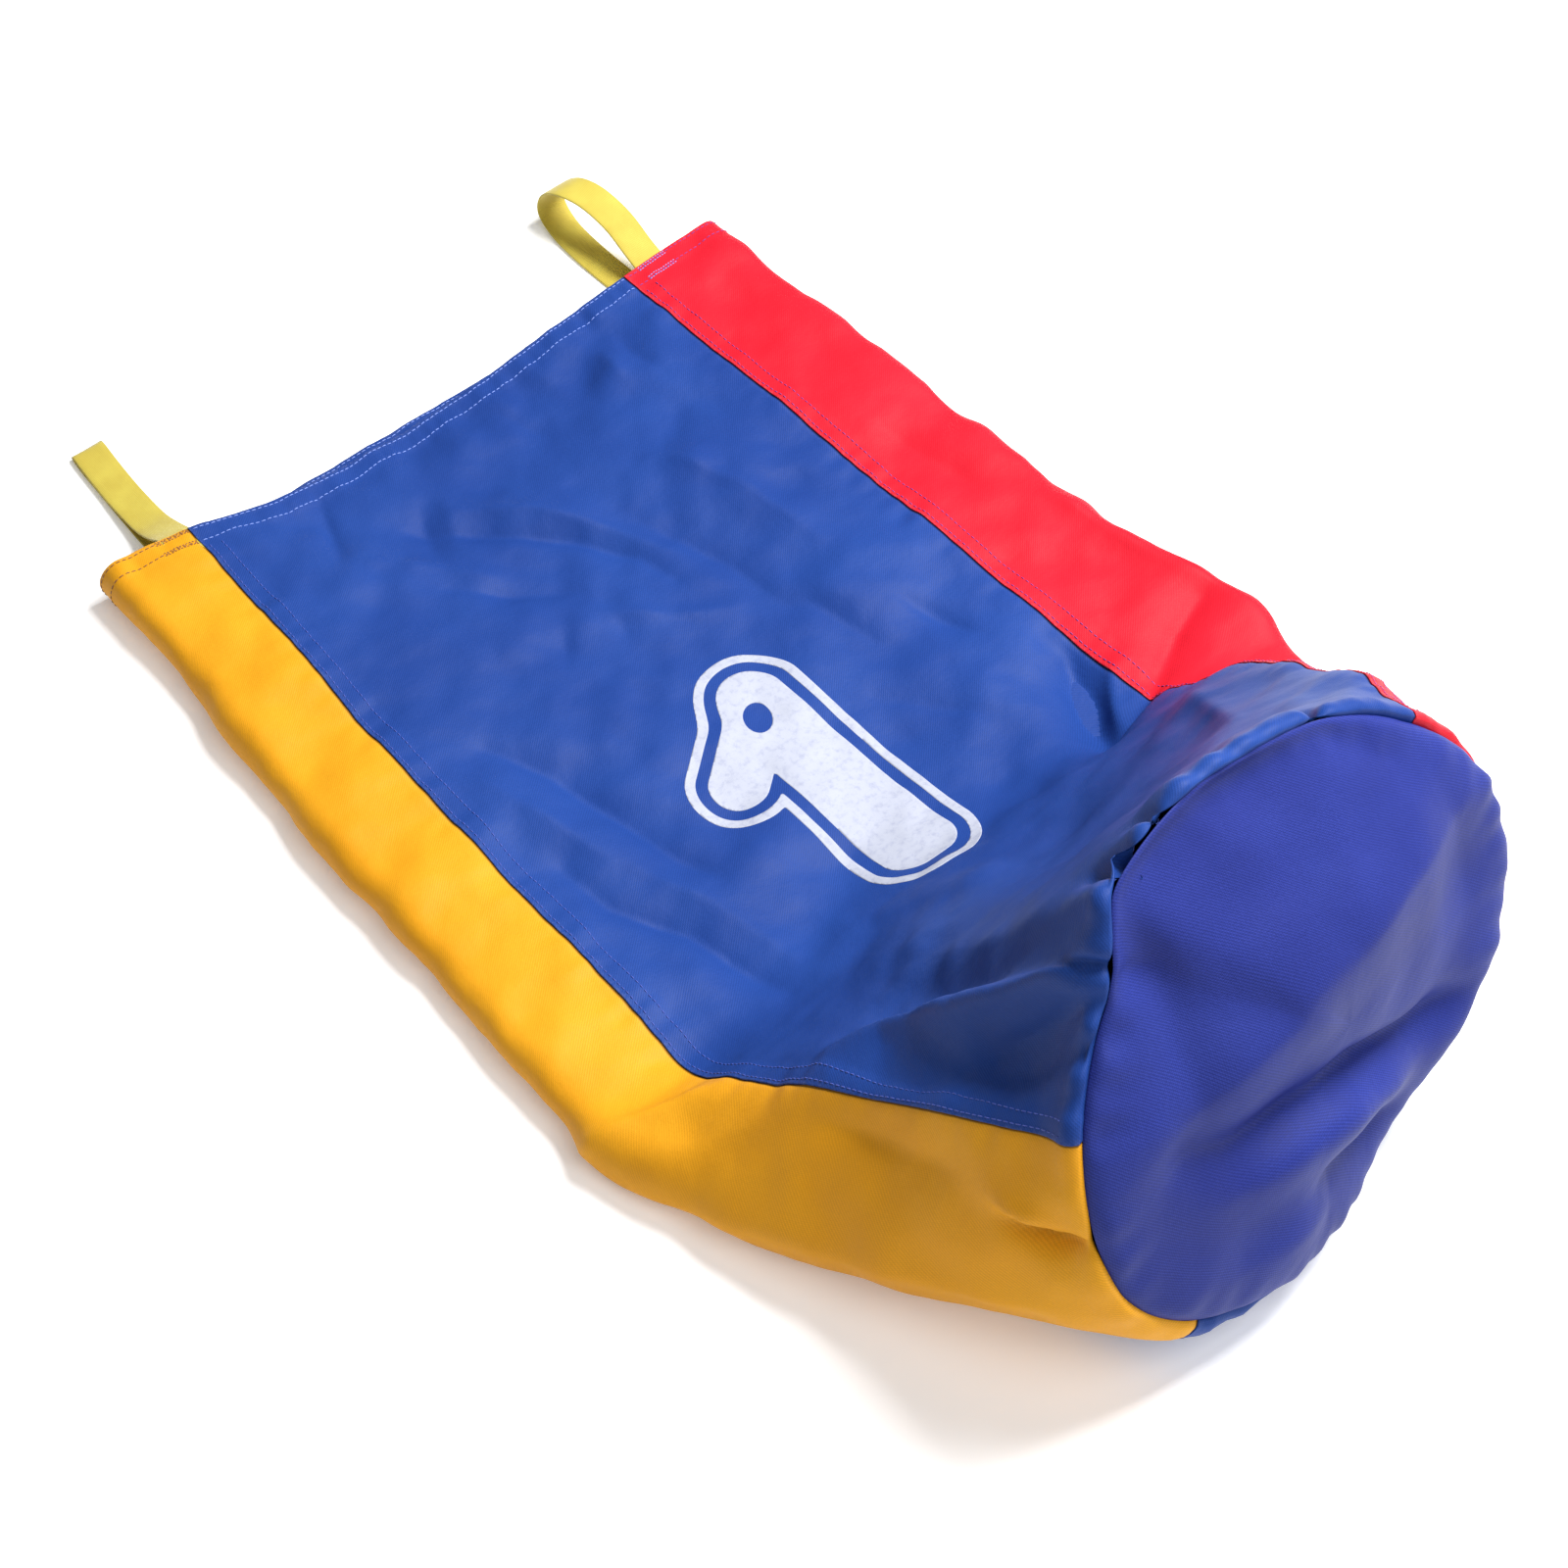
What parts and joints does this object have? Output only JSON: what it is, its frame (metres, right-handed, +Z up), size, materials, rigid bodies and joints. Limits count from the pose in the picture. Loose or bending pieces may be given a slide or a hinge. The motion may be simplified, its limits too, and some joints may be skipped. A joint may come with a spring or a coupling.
{
  "type": "sack race bag",
  "caption": "Soft cloth jumping sack lying on its back, with a flattened open mouth, a round base, side panels in two colours and a webbing loop handle on each side.",
  "frame": {"origin": "middle of the footprint, on the floor that the sack lies on", "axes": "+X from the open mouth to the round base, along the sack's length; +Y towards the red side panel; +Z up"},
  "size_m": [0.813, 0.4626, 0.2599],
  "materials": {
    "blue_cloth": "satin woven",
    "base_cloth": "coarse woven",
    "red_cloth": "satin woven",
    "yellow_cloth": "satin woven",
    "webbing": "woven webbing",
    "print_ink": "matt screen print",
    "blue_thread": "sewing thread",
    "dark_thread": "sewing thread"
  },
  "bodies": {
    "sack": {"front_panel": "blue_cloth", "back_panel": "blue_cloth", "right_side_panel": "red_cloth", "left_side_panel": "yellow_cloth", "base_panel": "base_cloth", "front_hem_edge_stitching": "blue_thread", "front_hem_fold_stitching": "blue_thread", "right_side_hem_edge_stitching": "dark_thread", "right_side_hem_fold_stitching": "dark_thread", "back_hem_edge_stitching": "blue_thread", "back_hem_fold_stitching": "blue_thread", "left_side_hem_edge_stitching": "dark_thread", "left_side_hem_fold_stitching": "dark_thread", "front_left_seam_edge_stitching": "blue_thread", "front_left_seam_inner_stitching": "blue_thread", "front_right_seam_edge_stitching": "dark_thread", "front_right_seam_inner_stitching": "dark_thread", "back_right_seam_edge_stitching": "blue_thread", "back_right_seam_inner_stitching": "blue_thread", "back_left_seam_edge_stitching": "blue_thread", "back_left_seam_inner_stitching": "blue_thread", "base_seam_stitching": "blue_thread", "number_fill": "print_ink", "number_outline": "print_ink", "left_handle_upper_end": "webbing", "left_handle_lower_end": "webbing", "left_handle_tack": "dark_thread", "right_handle_upper_end": "webbing", "right_handle_lower_end": "webbing", "right_handle_tack": "dark_thread"},
    "left_handle": {"left_handle_loop": "webbing"},
    "right_handle": {"right_handle_loop": "webbing"}
  },
  "joints": [
    {"name": "left_handle_swing", "type": "hinge", "parent": "sack", "child": "left_handle", "pos_m": [-0.3155, -0.1619, 0.0258], "axis": [0, 1, 0], "range_deg": [0, 150]},
    {"name": "right_handle_swing", "type": "hinge", "parent": "sack", "child": "right_handle", "pos_m": [-0.3155, 0.1626, 0.016], "axis": [0, 1, 0], "range_deg": [0, 150]}
  ]
}
